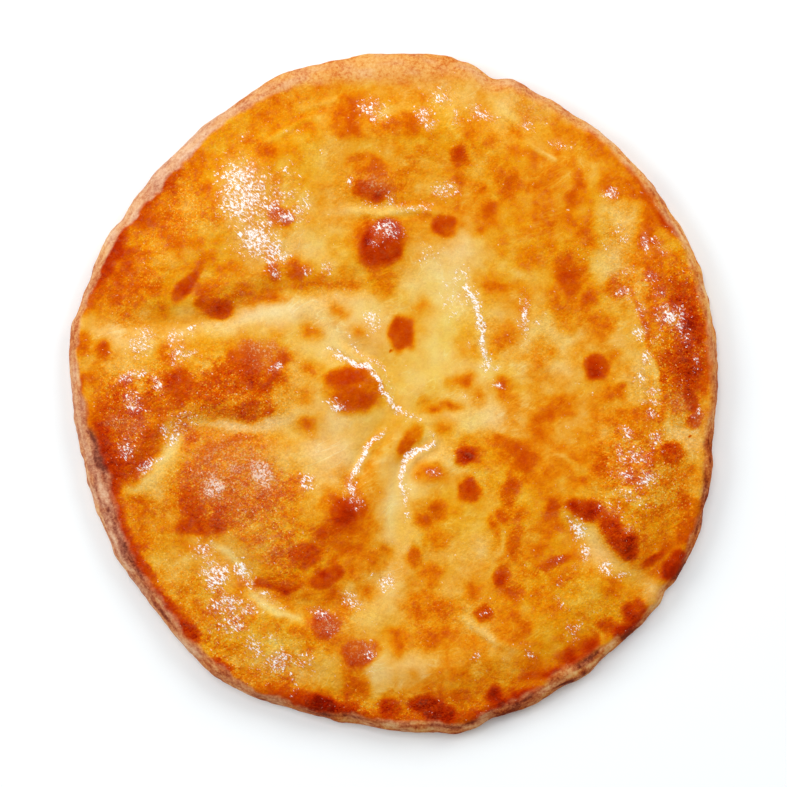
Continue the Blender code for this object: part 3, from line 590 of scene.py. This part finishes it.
def fields_of_top(x, y):
    """Browning with painted shade along folds, gloss that places the painted glints, flour haze with painted
    sheen, cream tint and grain of the top, and the height of its blisters in mm.
    """
    warp_x = x + 1.1 * noise(x, y, 8, 1) + 0.75 * noise(x, y, 3.2, 2)
    warp_y = y + 1.1 * noise(x, y, 8, 3) + 0.75 * noise(x, y, 3.2, 4)
    uneven = 0.07 * noise(x, y, 13, 6) + 0.11 * noise(x, y, 4.5, 7) + 0.06 * noise(x, y, 2.2, 14)
    level = GROUND + 0.05 * noise(x, y, 31, 5) + uneven
    blisters = np.zeros_like(x)
    for *place, strength in PALE:
        level *= 1 - PALE_DEPTH * strength * soft_spot(warp_x, warp_y, place)
    for *place, strength in BROWN:
        here = brown_spot(warp_x, warp_y, place, strength)
        away = oval(warp_x, warp_y, *place)
        ringed = 0.08 * bell(away / 0.5) + 0.06 * bell((away - 0.85) / 0.25)
        reached = SPOT_LEAST + SPOT_RANGE * strength**1.5 + ringed * strength + 1.1 * uneven
        level += np.maximum(reached - level, 0) * here
        blisters += 0.06 * min(place[2], place[3], 7) * strength * bell(oval(x, y, *place) / 1.1)
    for strength, fade, near in beside_each(warp_x, warp_y, BROWN_LINES):
        level += (1 - level) * strength * fade * near
    for strength, fade, near in beside_each(warp_x, warp_y, PALE_LINES):
        level *= 1 - strength * fade * near
    for depth, fade, near in beside_each(x, y, CREASES):
        level *= 1 - 0.6 * depth * fade * near
    # browner along the fold grooves: painted warm shade
    for points in FOLDS:
        side, fade = beside_curve(warp_x, warp_y, points, 4 * FOLD_WIDTH)
        level += 0.07 * fade * bell((side - 1.0) / 3.0)
    for centre_x, centre_y, size in FLECKS:
        level = np.maximum(level, 1.3 * bell(np.hypot(x - centre_x, y - centre_y) / size))
    gloss = strongest(warp_x, warp_y, GLOSS)
    for strength, fade, near in beside_each(warp_x, warp_y, WET_LINES):
        gloss = np.maximum(gloss, strength * fade * near)
    flour_and_sheen = strongest(warp_x, warp_y, FLOUR_AND_SHEEN)  # more than 1 where the domes' soft highlights are painted
    cream = 0.3 + 0.35 * noise(x, y, 17, 8) + 0.2 * noise(x, y, 6, 9)
    cream = added(cream, warp_x, warp_y, CREAM)
    gritty = added(0.35 + 0.2 * noise(x, y, 13, 10), warp_x, warp_y, GRITTY)
    brown = np.clip(level, 0, 1.3)  # more than 1 where the top is burnt
    return {"brown": brown, "gloss": gloss, "flour_and_sheen": flour_and_sheen, "cream": cream, "gritty": gritty}, blisters


# -------- The mesh --------


def unit_disc(u, v):
    """Moves points of the square from -1 to 1 to the round disc of radius 1, keeping areas equal."""
    wide = abs(u) >= abs(v)
    longer, shorter = np.where(wide, u, v), np.where(wide, v, u)
    turn = math.pi / 4 * shorter / np.where(longer == 0, 1, longer)
    on, off = longer * np.cos(turn), longer * np.sin(turn)
    return np.where(wide, on, off), np.where(wide, off, on)


def top_detail(x, y, blisters):
    """Small relief of the top: blisters, thin creases, and the skin's slight unevenness."""
    relief = blisters + 0.22 * noise(x, y, 9, 11) + 0.12 * noise(x, y, 4.5, 12) + 0.06 * noise(x, y, 2.4, 13)
    for width, depth, points in CREASES:
        relief += crease_relief(x, y, width, depth, points)
    return relief * smooth_step(inset_at(x, y) / 6.0 + 0.35)


def wall_lumps(angle, quarter):
    """How far the layered dough of the edge stands out from the plain wall."""
    layers = 0.5 * noise_round(angle, 13.0, quarter * 2.5, 21)
    layers += 0.45 * noise_round(angle, 6.5, quarter * 5.0, 22)
    pits = 0.15 * noise_round(angle, 3.2, quarter * 9.0, 23)
    pits += 0.1 * noise_round(angle, 1.6, quarter * 9.0, 24)
    depth = NOTCHES + swells_at(angle, NOTCHED)
    notches = depth * noise_round(angle, 6.5, np.zeros_like(angle), 25) * np.cos(quarter * math.pi / 2) ** 0.3
    return (layers + pits) * np.cos(quarter * math.pi / 2) ** 0.7 + notches


def rim_order(count):
    """Indices of the grid's border, once round."""
    side = count + 1
    south = [i * side for i in range(side)]
    east = [count * side + j for j in range(1, side)]
    north = [i * side + count for i in range(count - 1, -1, -1)]
    west = [j for j in range(count - 1, 0, -1)]
    return np.array(south + east + north + west)


def build_loaf():
    steps = np.linspace(-1, 1, GRID + 1)
    u, v = (a.ravel() for a in np.meshgrid(steps, steps, indexing="ij"))
    disc_x, disc_y = unit_disc(u, v)
    angle = np.arctan2(disc_y, disc_x)
    reach = outline(angle) - wall_lean(angle)
    x, y = disc_x * reach, disc_y * reach
    z = top_height(x, y) + top_detail(x, y, fields_of_top(x, y)[1])
    rim = rim_order(GRID)
    rim_angle, rim_height = angle[rim], z[rim]
    around = len(rim)

    points = [np.stack([x, y, z], axis=1)]
    spread = [np.stack([disc_x, disc_y], axis=1) * TOP_SHARE]
    depth = [np.zeros(len(x))]
    rings = [rim]
    unit = np.stack([np.cos(rim_angle), np.sin(rim_angle)], axis=1)

    def add_ring(radius, height, laid_out, sunk):
        """One more ring, with its radius on the unwrapped disc and its depth: 1 at the foot of the wall."""
        first = len(x) + around * (len(rings) - 1)
        points.append(np.column_stack([unit * radius[:, None], height]))
        spread.append(unit * laid_out)
        depth.append(np.full(around, sunk))
        rings.append(np.arange(first, first + around))

    upper = [1 - (ring + 1) / UPPER_RINGS for ring in range(UPPER_RINGS)]
    lower = [-(ring + 1) / LOWER_RINGS for ring in range(LOWER_RINGS)]
    for number, quarter in enumerate(upper + lower):
        lean = wall_lean(rim_angle) if quarter > 0 else np.full(around, TUCK)
        above = rim_height - WIDEST if quarter > 0 else np.full(around, WIDEST)
        turn = quarter * math.pi / 2
        radius = outline(rim_angle) - lean * (1 - math.cos(turn)) + wall_lumps(rim_angle, quarter)
        share = (number + 1) / (UPPER_RINGS + LOWER_RINGS)
        add_ring(radius, WIDEST + above * math.sin(turn), TOP_SHARE + (1 - TOP_SHARE) * share, share)
    edge_radius = np.hypot(points[-1][:, 0], points[-1][:, 1])
    for ring in range(BASE_RINGS):
        shrink = 1 - ((ring + 1) / (BASE_RINGS + 1)) ** 0.8
        px, py = (edge_radius * shrink * side for side in unit.T)
        hollow = BASE_HOLLOW * smooth_step((1 - shrink) / 0.1) * (0.5 + 0.5 * noise(px, py, 12, 31))
        add_ring(edge_radius * shrink, hollow, 0.0, 1.0 + min(1.0, (ring + 1) / 2))
    middle = len(x) + around * (len(rings) - 1)
    points.append(np.array([[0.0, 0.0, 0.4 * BASE_HOLLOW]]))
    spread.append(np.zeros((1, 2)))
    depth.append(np.full(1, 2.0))

    places = np.concatenate(points)
    spread, depth = np.concatenate(spread), np.concatenate(depth)
    ids = np.arange(len(x)).reshape(GRID + 1, GRID + 1)
    faces = np.stack([ids[:-1, :-1], ids[1:, :-1], ids[1:, 1:], ids[:-1, 1:]], axis=-1).reshape(-1, 4)
    bands = [faces]
    for outer, inner in zip(rings[:-1], rings[1:]):
        bands.append(np.stack([outer, inner, np.roll(inner, -1), np.roll(outer, -1)], axis=1))
    quads = np.concatenate(bands)
    last = rings[-1]
    fan = np.stack([last, np.full(around, middle), np.roll(last, -1)], axis=1)
    under_start = len(faces) + around * (UPPER_RINGS + LOWER_RINGS)

    mesh = bpy.data.meshes.new("crust")
    mesh.from_pydata(places.tolist(), [], quads.tolist() + fan.tolist())
    for name, values in surface_fields(places, depth).items():
        mesh.attributes.new(name, "FLOAT", "POINT").data.foreach_set("value", values.astype(np.float32))
    unwrap(mesh, places, spread, under_start)
    mesh.shade_smooth()
    fit_to_cad(mesh, places)
    mesh.validate()
    return mesh


def surface_fields(places, depth):
    """Every field that the material reads, over the top, the wall and the underside."""
    x, y, z = places.T
    full, _ = fields_of_top(x, y)
    angle = np.arctan2(y, x)
    edge_in = np.where((z < WIDEST) | (depth > 1), -3.0, outline(angle) - np.hypot(x, y))
    ragged = 0.9 * noise(x, y, 7, 41) + 0.7 * noise(x, y, 2.4, 42)
    reach = SIDE_REACH + swells_at(angle, SIDE_REACHES)
    soft = SIDE_SOFT + swells_at(angle, SIDE_SOFTER)
    full["side"] = smooth_step((reach + ragged - edge_in) / soft + 0.5)
    full["under"] = smooth_step(depth - 1.0)
    # streaks run along the wall, and painted shade of a fold follows its inner border
    depth_in = edge_in / 1.5 + z / 2.0
    layered = STREAKS + swells_at(angle, STREAKED)
    streaks = layered * noise_round(angle, 6.5, depth_in, 44)
    streaks += 0.16 * noise_round(angle, 3.2, depth_in * 1.2, 45)
    streaks *= 1 - bell(np.degrees(abs(angle - math.pi / 2)) / 30)
    # painted shade of the fold along the side's inner border
    crevice_shade = np.clip(CREVICE_SHADE + swells_at(angle, CREVICE_SHADES), 0, 1)
    crevice_shade *= bell((edge_in - reach + 0.6 + ragged) / 1.3)
    # what the photo shows of the side fades out below the widest part, which it doesn't show
    below = np.maximum(WIDEST - z, 0)
    shown = 1 - 0.85 * smooth_step(below / (0.7 * WIDEST))
    patches = 0.12 * noise_round(angle, 13.0, below / 4, 47) + 0.1 * noise_round(angle, 6.5, below / 3, 48)
    slide = 2.2 * noise_round(angle, 6.5, z / 3, 53)  # millimetres along the wall
    spot_x = x - slide * np.sin(angle) + 0.8 * noise(x, y, 3, 51)
    spot_y = y + slide * np.cos(angle) + 0.8 * noise(x, y, 3, 52)
    # darker by angle: partly browning, partly painted shade on the side away from the light
    shade = SIDE_SHADE + shown * swells_at(angle + slide / 130, SIDE_SHADES)
    shade = shade + patches + streaks + crevice_shade + 0.06 * bell(edge_in / 1.2)
    blush = SIDE_BLUSH + swells_at(angle, SIDE_BLUSHES) + 0.3 * noise_round(angle, 6.5, edge_in / 2, 46)
    line_x, line_y = x + 0.6 * noise(x, y, 4, 49), y + 0.6 * noise(x, y, 4, 50)
    # the darker side lines are painted shade in the folds
    for width, darker, pinker, route in SIDE_LINES:
        across, fade = beside_curve(line_x, line_y, route, 4 * width)
        shade += shown * darker * fade * bell(across / width)
        blush += pinker * fade * bell(across / width)
    for *place, darker in SIDE_SPOTS:
        shade += shown * darker * soft_spot(spot_x, spot_y, place)
    full["shade"] = np.clip(shade + 0.25 * smooth_step((3.0 - z) / 3.0), 0, 1)
    full["blush"] = np.clip(blush, 0, 1)
    return full


def unwrap(mesh, places, spread, under_start):
    """Lays the top and wall out as one disc and the underside as a smaller one."""
    corners = np.zeros(len(mesh.loops), dtype=np.int64)
    mesh.loops.foreach_get("vertex_index", corners)
    starts = np.zeros(len(mesh.polygons), dtype=np.int64)
    totals = np.zeros(len(mesh.polygons), dtype=np.int64)
    mesh.polygons.foreach_get("loop_start", starts)
    mesh.polygons.foreach_get("loop_total", totals)
    face_of = np.repeat(np.arange(len(starts)), totals)
    (upper_size, upper_middle), (lower_size, lower_middle) = UPPER_DISC, LOWER_DISC
    upper = spread[corners] * upper_size + upper_middle
    lower = places[corners, :2] / 136.0 * lower_size * (1, -1) + lower_middle
    uv = np.where((face_of < under_start)[:, None], upper, lower)
    layer = mesh.uv_layers.new(name="OFBake")
    layer.uv.foreach_set("vector", uv.astype(np.float32).ravel())


def fit_to_cad(mesh, places):
    """Moves the mesh, in millimetres, to where the CAD solid is, in metres."""
    low, high = (np.array(corner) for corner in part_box("khachapuri"))
    own_low, own_high = places.min(axis=0) * MM, places.max(axis=0) * MM
    shift = np.array([*((low + high)[:2] - (own_low + own_high)[:2]) / 2, low[2] - own_low[2]])
    mesh.vertices.foreach_set("co", (places * MM + shift).astype(np.float32).ravel())
    mesh.update()


# -------- The material --------

GAIN = 0.905  # paint is darker than the colour it shows as, because the light is brighter than paper white


def linear(rgb, gain=1.0):
    """A colour written as 0 to 255 on screen, as linear light."""
    found = []
    for value in rgb:
        c = value / 255
        found.append(gain * (c / 12.92 if c <= 0.04045 else ((c + 0.055) / 1.055) ** 2.4))
    return (*found, 1.0)


def paint(rgb):
    return linear(rgb, GAIN)


class Nodes:
    """Short calls that add nodes to one material and link them."""

    def __init__(self, material):
        material.use_nodes = True
        self.tree = material.node_tree
        self.shader = self.tree.nodes["Principled BSDF"]
        self.place = self.add("ShaderNodeTexCoord").outputs["Object"]

    def add(self, kind, **settings):
        node = self.tree.nodes.new(kind)
        for name, value in settings.items():
            setattr(node, name, value)
        return node

    def put(self, socket, value):
        if isinstance(value, bpy.types.NodeSocket):
            self.tree.links.new(value, socket)
        else:
            socket.default_value = value

    def field(self, name):
        return self.add("ShaderNodeAttribute", attribute_name=name).outputs["Fac"]

    def math(self, operation, a, b=0.0, c=0.0, clamp=False):
        node = self.add("ShaderNodeMath", operation=operation, use_clamp=clamp)
        for socket, value in zip(node.inputs, (a, b, c)):
            self.put(socket, value)
        return node.outputs[0]

    def times(self, a, b, clamp=False):
        return self.math("MULTIPLY", a, b, clamp=clamp)

    def fma(self, a, b, c, clamp=False):
        """a times b, plus c."""
        return self.math("MULTIPLY_ADD", a, b, c, clamp)

    def total(self, ground, *parts):
        """ground, plus each part times its share."""
        for part, share in parts:
            ground = self.fma(part, share, ground)
        return ground

    def dress(self, inputs):
        for name, value in inputs.items():
            self.put(self.shader.inputs[name], value)

    def texture(self, kind, place, **inputs):
        node = self.add(kind)
        self.put(node.inputs["Vector"], place)
        for name, value in inputs.items():
            node.inputs[name].default_value = value
        return node

    def noise(self, size, detail=2.0, rough=0.5, offset=0.0):
        """Noise centred on 0, from about -0.5 to 0.5, whose lumps are about this many millimetres."""
        place = self.place
        if offset:
            shifted = self.add("ShaderNodeVectorMath", operation="ADD")
            self.put(shifted.inputs[0], self.place)
            shifted.inputs[1].default_value = (offset, offset * 0.7, offset * 0.3)
            place = shifted.outputs[0]
        scale = 1.0 / (size * MM * 2)
        node = self.texture("ShaderNodeTexNoise", place, Scale=scale, Detail=detail, Roughness=rough)
        return self.math("SUBTRACT", node.outputs["Fac"], 0.5)

    def streaks(self, length, width, turn, detail, distortion, offset):
        """Noise centred on 0 whose lumps are this long and wide, in mm, turned by this many degrees."""
        laid = self.add("ShaderNodeMapping", vector_type="TEXTURE")
        self.put(laid.inputs["Vector"], self.place)
        laid.inputs["Location"].default_value = (offset * MM, offset * MM, 0.0)
        laid.inputs["Rotation"].default_value = (0.0, 0.0, math.radians(turn))
        laid.inputs["Scale"].default_value = (2 * length * MM, 2 * width * MM, 2 * width * MM)
        settings = {"Scale": 1.0, "Detail": detail, "Distortion": distortion}
        node = self.texture("ShaderNodeTexNoise", laid.outputs[0], **settings)
        return self.math("SUBTRACT", node.outputs["Fac"], 0.5)

    def grains(self, apart, share):
        """Crisp dots of uneven shape and size about this many millimetres apart, this share of them kept."""
        scale = 1.0 / (apart * MM)
        ruffled = self.texture("ShaderNodeTexNoise", self.place, Scale=scale, Detail=1.0)
        shifted = self.add("ShaderNodeVectorMath", operation="MULTIPLY_ADD")
        self.put(shifted.inputs[0], ruffled.outputs["Color"])
        shifted.inputs[1].default_value = (1.6 * apart * MM,) * 3
        self.put(shifted.inputs[2], self.place)
        cells = self.texture("ShaderNodeTexVoronoi", shifted.outputs[0], Scale=scale)
        parts = self.add("ShaderNodeSeparateColor")
        self.put(parts.inputs[0], cells.outputs["Color"])
        reach = self.fma(parts.outputs[1], 0.25, cells.outputs["Distance"])
        dot = self.span(reach, 0.28, 0.56, 1.0, 0.0)
        return self.times(dot, self.span(parts.outputs[0], share + 0.05, share - 0.05))

    def span(self, value, low, high, to_low=0.0, to_high=1.0):
        node = self.add("ShaderNodeMapRange", interpolation_type="SMOOTHSTEP")
        names = ("Value", "From Min", "From Max", "To Min", "To Max")
        for name, given in zip(names, (value, low, high, to_low, to_high)):
            self.put(node.inputs[name], given)
        return node.outputs["Result"]

    def ramp(self, value, stops):
        node = self.add("ShaderNodeValToRGB")
        self.put(node.inputs["Fac"], value)
        parts = node.color_ramp.elements
        while len(parts) < len(stops):
            parts.new(0.5)
        for part, (at, *colour) in zip(parts, stops):
            part.position = at
            part.color = paint(colour)
        return node.outputs["Color"]

    def grey(self, value):
        node = self.add("ShaderNodeCombineColor")
        for socket in node.inputs:
            self.put(socket, value)
        return node.outputs["Color"]

    def mix(self, share, a, b, blend="MIX"):
        node = self.add("ShaderNodeMix", data_type="RGBA", blend_type=blend)
        self.put(node.inputs["Factor"], share)
        self.put(node.inputs[6], a)
        self.put(node.inputs[7], b)
        return node.outputs[2]

    def bump(self, height, distance):
        node = self.add("ShaderNodeBump")
        self.put(node.inputs["Height"], height)
        node.inputs["Distance"].default_value = distance
        return node.outputs["Normal"]


# The skin's colours from pale to burnt: how far along, then red, green and blue from 0 to 255 on screen
LEMON = table("""
    0 243 220 132, .09 239 204 102, .17 237 188 76, .26 234 169 40, .35 231 150 12, .43 228 131 4,
    .5 220 110 0, .57 210 91 0, .66 201 75 0, .78 190 51 0, .88 170 31 0, 1 126 12 0,
""")
CREAMY = table("""
    0 246 224 170, .09 243 208 142, .17 240 190 114, .26 236 171 78, .35 232 151 38, .43 228 131 12,
    .57 210 91 0, .66 201 75 0, .78 188 55 0, 1 120 14 0,
""")
TAN_SIDE = table("0 238 190 118, .3 230 163 84, .55 214 118 42, .8 180 76 18, 1 130 44 10")
PINK_SIDE = table("0 238 200 166, .3 222 168 132, .55 196 130 98, .8 158 88 66, 1 118 58 44")
UNDER = table("0 238 206 150, .35 222 172 106, .6 186 118 54, .85 130 68 24, 1 84 38 12")
SAND = (248, 196, 104)  # crisp pale grains
VEIL = (204, 118, 54)  # skin under a little flour
FLOUR = (240, 190, 132)
SHEEN = (250, 224, 210)  # painted soft highlight of the domes
FURROW_SHADE = (196, 96, 18)  # painted shade in the furrows between painted glints
GLINT_RIM = (240, 208, 192)  # painted milky rims round the painted glints
# painted highlight: the white of the glints
GLINT = (255, 250, 246)
SPARK = (252, 206, 130)  # painted stray glints


def crust_material():
    material = bpy.data.materials.new("crust")
    n = Nodes(material)
    brown, gloss, flour_and_sheen, cream, gritty = map(n.field, ("brown", "gloss", "flour_and_sheen", "cream", "gritty"))
    side, under, shade, blush = map(n.field, ("side", "under", "shade", "blush"))

    patchy = n.noise(6.5, 2.0, 0.5, offset=41.0)
    coarse = n.noise(3.0, 4.0, 0.6)
    fine = n.noise(1.2, 3.0, 0.65, offset=3.0)
    grain = n.noise(0.55, 2.0, 0.7, offset=7.0)

    def by_grain(smooth, grainy):
        return n.span(gritty, 0.1, 1.0, smooth, grainy)

    # browning breaks up at its borders and is freckled, less where the dough is pale and smooth
    lively = n.times(n.span(brown, 0.08, 0.5, 0.2, 1.0), n.span(gritty, 0.0, 1.0, 0.6, 1.15))
    mottle = n.total(n.times(patchy, 0.25), (coarse, 0.4), (fine, 0.3), (grain, 0.2))
    # short crossing fibres and pores
    rising, falling = n.streaks(1.7, 0.42, 33.0, 2.0, 1.4, 63.0), n.streaks(1.5, 0.4, -24.0, 2.0, 1.4, 37.0)
    fibres = n.math("ADD", rising, falling)
    pores = n.fma(n.noise(0.28, 1.0, 0.5, offset=93.0), 0.8, grain)
    mottle = n.total(mottle, (fibres, by_grain(0.1, 0.5)), (pores, by_grain(-0.05, -0.34)))
    level = n.fma(mottle, lively, brown)
    # crisp grains, lighter and darker
    light_grains, dark_grains = n.grains(0.8, 0.5), n.grains(0.95, 0.45)
    lighter = n.times(lively, by_grain(-0.03, -0.24))
    lighter = n.times(lighter, n.span(level, 0.6, 0.95, 1.0, 0.45))
    darker = n.times(lively, by_grain(0.02, 0.18))
    level = n.total(level, (light_grains, lighter), (dark_grains, darker))
    # thin pale veins where the dough was stretched
    vein = n.math("ABSOLUTE", n.streaks(8.0, 3.0, 28.0, 2.0, 1.2, 71.0))
    vein = n.times(n.span(vein, 0.0, 0.035, 1.0, 0.0), n.span(patchy, -0.05, 0.12))
    level = n.times(n.fma(vein, -0.08, level), 0.87, clamp=True)
    top = n.mix(n.fma(fine, 0.5, cream, clamp=True), n.ramp(level, LEMON), n.ramp(level, CREAMY))

    # flour haze: tiny pale dots over the browning, and painted soft highlights on the domes
    flour_and_sheen_noise = n.noise(0.42, 2.0, 0.7, offset=83.0)
    top = n.mix(n.times(flour_and_sheen, 0.4, clamp=True), top, paint(VEIL))
    dots = n.span(n.fma(fine, 0.4, flour_and_sheen_noise), 0.02, 0.16)
    top = n.mix(n.times(flour_and_sheen, n.times(dots, 0.75), clamp=True), top, paint(FLOUR))
    # painted soft highlight, grainy, where the field passes 1
    sheen_grains = n.span(n.fma(fine, 0.5, flour_and_sheen_noise), -0.1, 0.1)
    painted_sheen = n.times(n.math("SUBTRACT", flour_and_sheen, 1.0, clamp=True), sheen_grains)
    top = n.mix(painted_sheen, top, paint(SHEEN))

    # painted glints: short white strokes, painted in as highlights where the wash is thick
    strokes = n.streaks(0.95, 0.42, -42.0, 2.0, 1.6, 23.0)
    ridge = n.fma(n.noise(0.6, 2.0, 0.6, offset=51.0), 0.7, strokes)
    broken = n.noise(1.6, 2.0, 0.6, offset=29.0)
    amount = n.fma(broken, 1.1, gloss)
    glint_density = n.span(amount, 0.22, 1.3)
    glint_reach = n.fma(glint_density, 0.21, ridge)
    glint = n.span(glint_reach, 0.15, 0.26)
    glint = n.times(glint, n.span(amount, 0.12, 0.4))
    # painted stray glints, more where the skin is grainy
    stray = n.fma(gritty, 0.1, n.fma(broken, 0.35, ridge))
    stray = n.span(stray, 0.34, 0.4)
    top = n.mix(n.times(stray, 0.55), top, paint(SPARK))
    glint = n.fma(stray, 0.3, glint, clamp=True)
    # painted fine light and shade: the brightness varies from point to point with the skin's pits
    painted_pit_shade = n.span(n.fma(fine, 0.2, pores), -0.34, 0.34, 1.0, -1.0)
    painted_pit_shade = n.fma(painted_pit_shade, n.span(gritty, 0.0, 1.0, 0.04, 0.22), 1.0)
    top = n.mix(1.0, top, n.grey(painted_pit_shade), "MULTIPLY")
    sandy = n.times(light_grains, by_grain(0.03, 0.24))
    sandy = n.times(sandy, n.span(level, 0.4, 0.62, 1.0, 0.15))
    top = n.mix(sandy, top, paint(SAND))
    # painted shade in the furrows between the painted glints, and a painted milky rim round each glint
    painted_furrow_shade = n.times(n.span(ridge, 0.0, -0.3, 0.0, 0.42), n.span(amount, 0.2, 0.9))
    top = n.mix(painted_furrow_shade, top, paint(FURROW_SHADE))
    # painted milky rim round each painted glint
    painted_glint_rim = n.times(n.span(glint_reach, 0.04, 0.2, 0.0, 0.5), n.span(amount, 0.3, 1.1))
    top = n.mix(painted_glint_rim, top, paint(GLINT_RIM))
    top = n.mix(n.times(glint, 0.94), top, linear(GLINT))

    # the side: pale dough, dotted and streaked, darker where its shade field holds browning and painted shade
    specks = n.math("ADD", n.times(grain, 0.9), n.times(fine, 0.7))
    side_level = n.math("ADD", shade, specks, clamp=True)
    wall = n.mix(blush, n.ramp(side_level, TAN_SIDE), n.ramp(side_level, PINK_SIDE))

    # the underside: toasted blotches on paler dough
    blotch = n.math("ADD", n.fma(n.noise(14.0, 4.0, 0.6, offset=11.0), 1.5, 0.42), specks, clamp=True)
    base = n.ramp(blotch, UNDER)

    border = n.fma(fine, 0.5, side, clamp=True)
    colour = n.mix(under, n.mix(border, top, wall), base)

    # roughness: buttery on the top, wetter in the gloss patches, dry on the wall
    rough = n.total(0.46, (grain, 0.3), (gloss, -0.2), (flour_and_sheen, 0.1), (border, 0.25))
    rough = n.fma(under, 0.2, rough, clamp=True)

    # bump: wet strokes in the gloss patches, fine pores everywhere
    wet = n.times(n.span(gloss, 0.1, 0.7), n.math("SUBTRACT", 1.0, border), clamp=True)
    height = n.total(n.times(n.times(ridge, wet), 0.3), (grain, 0.22), (fine, 0.4), (coarse, 0.4))
    height = n.times(height, n.span(gritty, 0.0, 0.6, 0.5, 1.0))
    normal = n.bump(height, 1.0 * MM)
    n.dress({
        "Base Color": colour, "Roughness": rough, "Normal": normal,
        "Specular IOR Level": 0.02, "Specular Tint": (1.0, 0.5, 0.15, 1.0),
        "Coat Weight": n.times(wet, 0.4), "Coat Roughness": 0.12, "Coat IOR": 1.5, "Coat Normal": normal,
    })
    return material


def add_object(name, data, place=(0.0, 0.0, 0.0)):
    obj = bpy.data.objects.new(name, data)
    obj.location = place
    bpy.context.scene.collection.objects.link(obj)
    return obj


loaf_mesh = build_loaf()
loaf_mesh.materials.append(crust_material())
loaf = add_object("crust", loaf_mesh)
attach(loaf, "root")
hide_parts("khachapuri")

# -------- Floor, light and camera --------

FLOOR_REACH = 12.0  # metres from the bread
FLOOR_GAP = 0.0002
FLOOR_COLOUR = (0.932, 0.968, 0.984, 1.0)
ROOM_LIGHT = 0.23
CAMERA_RISE = 1.1  # metres above the bread
CAMERA_LENS = 127.4

# Place in metres, width in metres, power in watts
LIGHTS = {
    "right key": ((1.25, 1.2, 1.3), 1.4, 22.5),
    "left key": ((-1.72, 0.24, 1.3), 1.4, 22.5),
    "back key": ((-0.6, 1.66, 1.3), 1.4, 9.5),
    "overhead": ((-0.1, 0.5, 2.3), 1.2, 11.0),
    "accent": ((-0.35, 0.55, 1.45), 0.28, 1.4),
    "bounce": ((-0.5, -0.9, 1.2), 0.8, 1.0),
}

low, high = (np.array(corner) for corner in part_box("khachapuri"))
centre = (low + high) / 2


def add_floor():
    mesh = bpy.data.meshes.new("floor")
    corners = [(x * FLOOR_REACH, y * FLOOR_REACH, 0) for x, y in ((-1, -1), (1, -1), (1, 1), (-1, 1))]
    mesh.from_pydata(corners, [], [(0, 1, 2, 3)])
    material = bpy.data.materials.new("floor")
    Nodes(material).dress({"Base Color": FLOOR_COLOUR, "Roughness": 0.9, "Specular IOR Level": 0.1})
    mesh.materials.append(material)
    floor = add_object("floor", mesh, (0, 0, low[2] - FLOOR_GAP))


def add_light(name, place, size, power):
    """A round light aimed at the middle of the bread."""
    light = bpy.data.lights.new(name, "AREA")
    light.shape = "DISK"
    light.size = size
    light.energy = power
    direction = (centre - np.array(place)).tolist()
    add_object(name, light, place).rotation_euler = Vector(direction).to_track_quat("-Z", "Y").to_euler()


def add_camera():
    camera = bpy.data.cameras.new("camera")
    camera.sensor_width = 36.0
    camera.lens = CAMERA_LENS
    camera.clip_start = 0.01
    camera.clip_end = 50.0
    bpy.context.scene.camera = add_object("camera", camera, (centre[0], centre[1], high[2] + CAMERA_RISE))


def add_world():
    world = bpy.data.worlds.new("room")
    world.use_nodes = True
    background = world.node_tree.nodes["Background"]
    background.inputs["Color"].default_value = (1.0, 1.0, 1.0, 1.0)
    background.inputs["Strength"].default_value = ROOM_LIGHT
    bpy.context.scene.world = world


add_floor()
for name, settings in LIGHTS.items():
    add_light(name, *settings)
add_camera()
add_world()
bpy.context.scene.view_settings.view_transform = "Standard"
